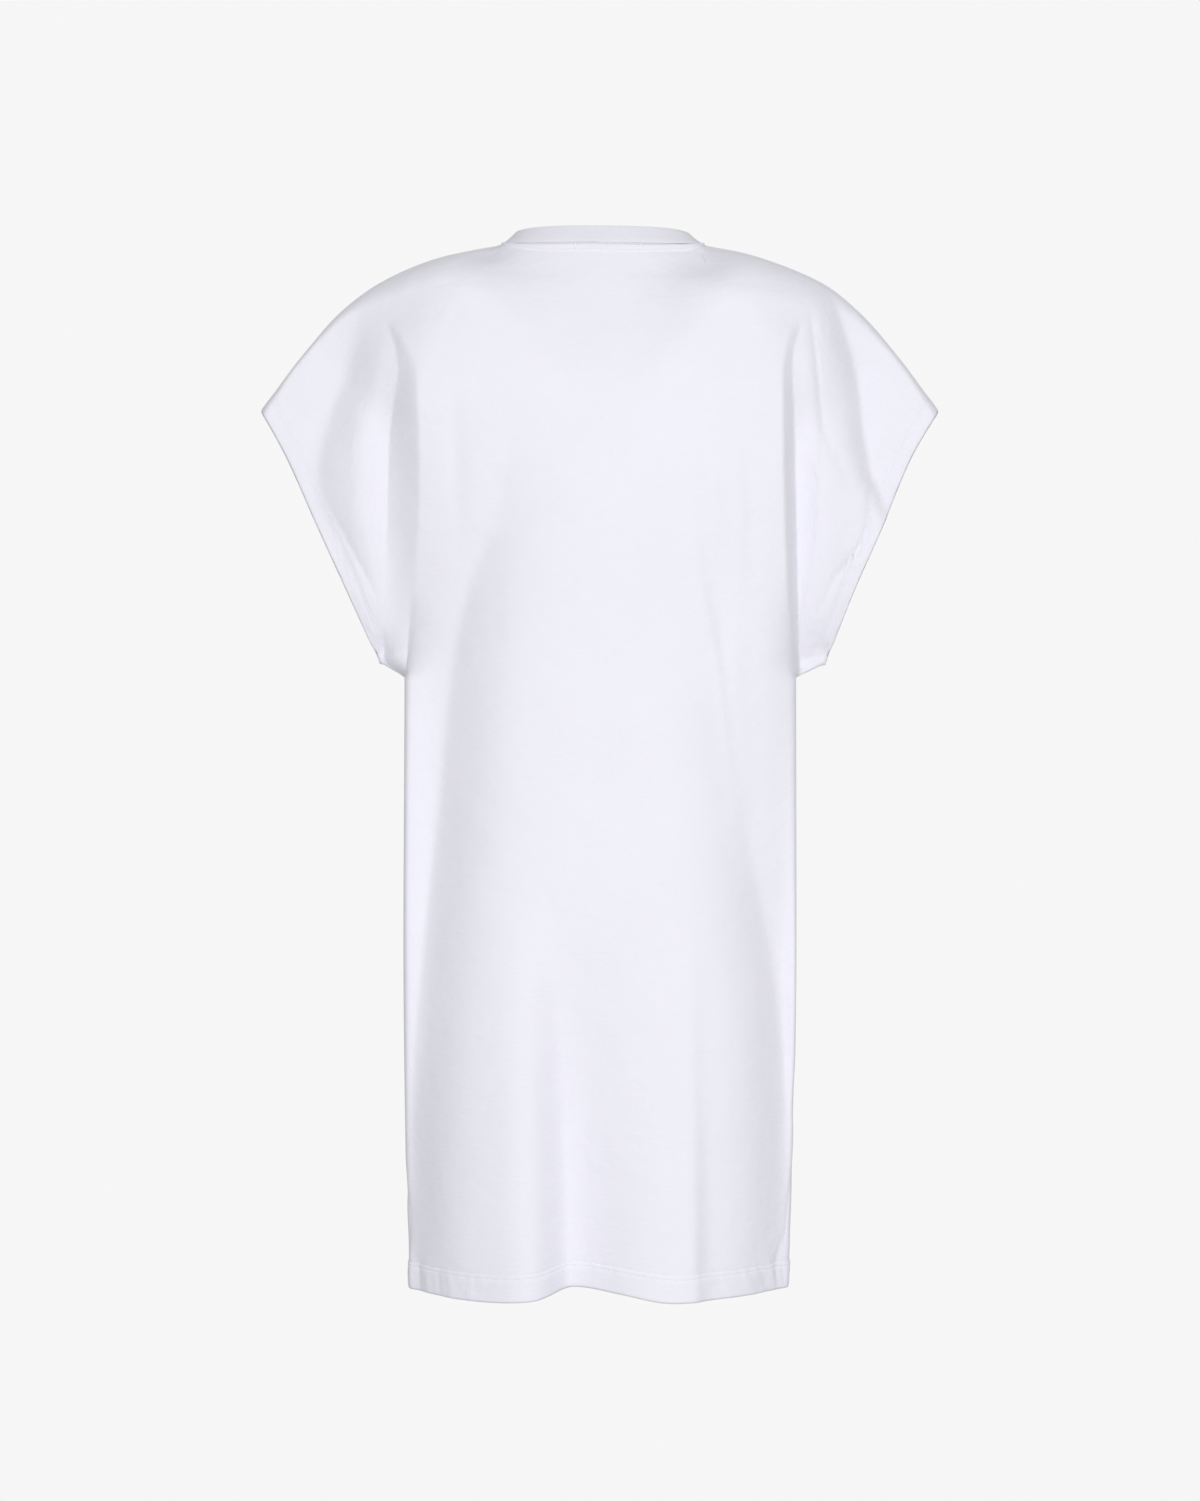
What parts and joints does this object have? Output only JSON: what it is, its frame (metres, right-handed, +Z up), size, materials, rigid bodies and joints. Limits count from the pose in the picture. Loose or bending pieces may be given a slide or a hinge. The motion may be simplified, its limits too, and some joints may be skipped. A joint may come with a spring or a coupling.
{
  "type": "t-shirt dress",
  "caption": "Straight knee-length t-shirt dress in plain white jersey, wide short sleeves cut in one with the body, rib crew neck, hollow as worn.",
  "frame": {"origin": "Middle of the neck, level with the two points where the shoulder line meets the neckband; the wearer's shoulders hold the dress there.", "axes": "+Z up along the body, -Y towards the garment's front, +Y its back, +X the wearer's left."},
  "size_m": [0.5818, 0.2282, 0.908],
  "materials": {
    "jersey": "matt white cotton jersey",
    "rib": "matt white cotton rib"
  },
  "bodies": {
    "root": {"back_panel": "jersey", "front_panel": "jersey", "neckband": "rib"}
  },
  "joints": []
}
